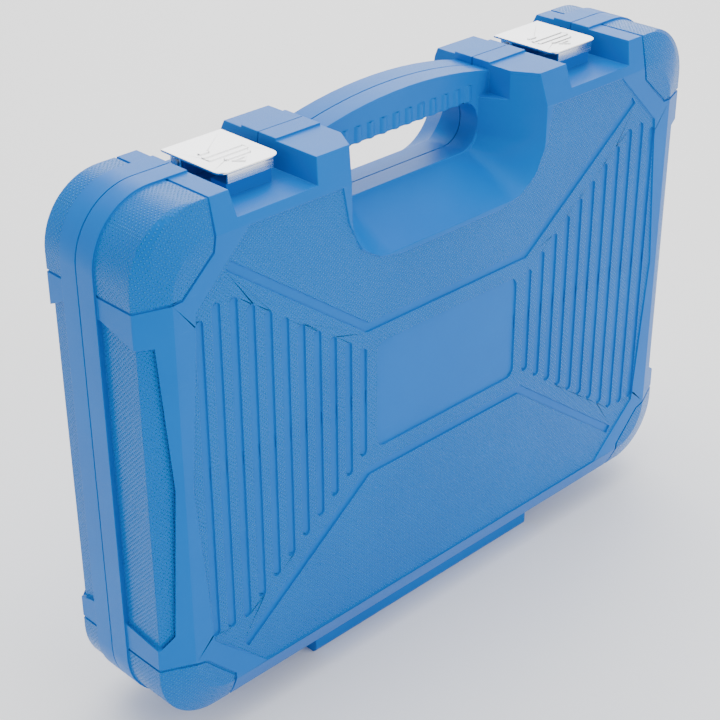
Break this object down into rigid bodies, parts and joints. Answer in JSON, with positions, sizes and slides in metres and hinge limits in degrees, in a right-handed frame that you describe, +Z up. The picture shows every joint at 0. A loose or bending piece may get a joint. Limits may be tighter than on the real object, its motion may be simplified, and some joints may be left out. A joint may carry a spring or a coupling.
{
  "type": "socket wrench set in case",
  "caption": "Blue moulded carrying case with a grip handle and two steel snap latches, opening on a hinge along its bottom, holding ratchets, sockets, bits and drive tools in moulded pockets.",
  "frame": {"origin": "on the floor under the middle of the closed, standing case", "axes": "+Z up, +X along the width of the case, the lid faces -Y"},
  "size_m": [0.4324, 0.0834, 0.3262],
  "materials": {
    "case_blue": "satin moulded polyethylene with dotted panels",
    "tray_blue": "satin moulded polyethylene",
    "latch_steel": "polished sheet steel",
    "plain_steel": "satin",
    "satin_chrome": "satin chrome",
    "grip_black": "matte",
    "holder_black": "satin",
    "insert_rubber": "matte",
    "key_black": "oiled black oxide",
    "bit_steel": "sand blasted"
  },
  "bodies": {
    "case_base": {"base_inner_tray": "tray_blue", "base_outer_skin": "case_blue", "bit_sockets": "satin_chrome", "drive_adapters": "satin_chrome", "half_inch_ratchet_body": "satin_chrome", "half_inch_ratchet_cover": "satin_chrome", "half_inch_ratchet_cover_screws": "plain_steel", "half_inch_ratchet_grip": "grip_black", "half_inch_socket_10_mm": "satin_chrome", "half_inch_socket_12_mm": "satin_chrome", "half_inch_socket_13_mm": "satin_chrome", "half_inch_socket_14_mm": "satin_chrome", "half_inch_socket_15_mm": "satin_chrome", "half_inch_socket_17_mm": "satin_chrome", "half_inch_socket_19_mm": "satin_chrome", "half_inch_socket_22_mm": "satin_chrome", "half_inch_socket_24_mm": "satin_chrome", "half_inch_socket_27_mm": "satin_chrome", "half_inch_socket_30_mm": "satin_chrome", "half_inch_socket_32_mm": "satin_chrome", "hinge_pin": "plain_steel", "left_bit_holder": "holder_black", "left_latch_pin": "plain_steel", "quarter_inch_ratchet_body": "satin_chrome", "quarter_inch_ratchet_cover": "satin_chrome", "quarter_inch_ratchet_cover_screws": "plain_steel", "quarter_inch_ratchet_grip": "grip_black", "quarter_inch_sockets": "satin_chrome", "right_bit_holder": "holder_black", "right_latch_pin": "plain_steel", "screwdriver_bits": "bit_steel", "spark_plug_socket_16_mm": "satin_chrome", "spark_plug_socket_21_mm": "satin_chrome", "spark_plug_socket_inserts": "insert_rubber", "spinner_grip": "grip_black", "spinner_shaft": "satin_chrome"},
    "lid": {"lid_outer_skin": "case_blue", "lid_inner_tray": "tray_blue", "half_inch_extension_long": "satin_chrome", "half_inch_extension_short": "satin_chrome", "quarter_inch_extension_long": "satin_chrome", "quarter_inch_extension_short": "satin_chrome", "t_handle_head": "satin_chrome", "hex_keys": "key_black", "half_inch_deep_sockets": "satin_chrome"},
    "left_latch": {"left_latch": "latch_steel"},
    "right_latch": {"right_latch": "latch_steel"},
    "half_inch_drive": {"half_inch_ratchet_drive": "satin_chrome", "half_inch_ratchet_ball": "plain_steel"},
    "half_inch_button": {"half_inch_ratchet_button": "plain_steel"},
    "half_inch_lever": {"half_inch_ratchet_lever": "plain_steel", "half_inch_ratchet_pawl": "plain_steel"},
    "quarter_inch_drive": {"quarter_inch_ratchet_drive": "satin_chrome", "quarter_inch_ratchet_ball": "plain_steel"},
    "quarter_inch_button": {"quarter_inch_ratchet_button": "plain_steel"},
    "quarter_inch_lever": {"quarter_inch_ratchet_lever": "plain_steel", "quarter_inch_ratchet_pawl": "plain_steel"},
    "t_bar": {"t_handle_bar": "satin_chrome"}
  },
  "joints": [
    {"name": "lid_hinge", "type": "hinge", "parent": "case_base", "child": "lid", "pos_m": [0, 0.00665, 0.008], "axis": [1, 0, 0], "range_deg": [0, 180]},
    {"name": "left_latch_hinge", "type": "hinge", "parent": "case_base", "child": "left_latch", "pos_m": [-0.1262, 0.019, 0.316], "axis": [-1, 0, 0], "range_deg": [0, 90]},
    {"name": "right_latch_hinge", "type": "hinge", "parent": "case_base", "child": "right_latch", "pos_m": [0.1262, 0.019, 0.316], "axis": [-1, 0, 0], "range_deg": [0, 90]},
    {"name": "half_inch_drive_spin", "type": "hinge", "parent": "case_base", "child": "half_inch_drive", "pos_m": [-0.165, 0.02, 0.132], "axis": [0, 1, 0], "continuous": true},
    {"name": "half_inch_lever_flip", "type": "hinge", "parent": "case_base", "child": "half_inch_lever", "pos_m": [-0.147, 0.01, 0.132], "axis": [0, 1, 0], "range_deg": [-12, 12]},
    {"name": "half_inch_button_press", "type": "slide", "parent": "half_inch_drive", "child": "half_inch_button", "axis": [0, 1, 0], "range_m": [0, 0.0016], "stiffness_N_per_m": 500, "springref_m": -0.001},
    {"name": "quarter_inch_drive_spin", "type": "hinge", "parent": "case_base", "child": "quarter_inch_drive", "pos_m": [-0.172, 0.02, 0.178], "axis": [0, 1, 0], "continuous": true},
    {"name": "quarter_inch_lever_flip", "type": "hinge", "parent": "case_base", "child": "quarter_inch_lever", "pos_m": [-0.16084, 0.01, 0.178], "axis": [0, 1, 0], "range_deg": [-12, 12]},
    {"name": "quarter_inch_button_press", "type": "slide", "parent": "quarter_inch_drive", "child": "quarter_inch_button", "axis": [0, 1, 0], "range_m": [0, 0.0011], "stiffness_N_per_m": 300, "springref_m": -0.001},
    {"name": "t_bar_slide", "type": "slide", "parent": "lid", "child": "t_bar", "axis": [1, 0, 0], "range_m": [-0.092, 0.092]}
  ]
}
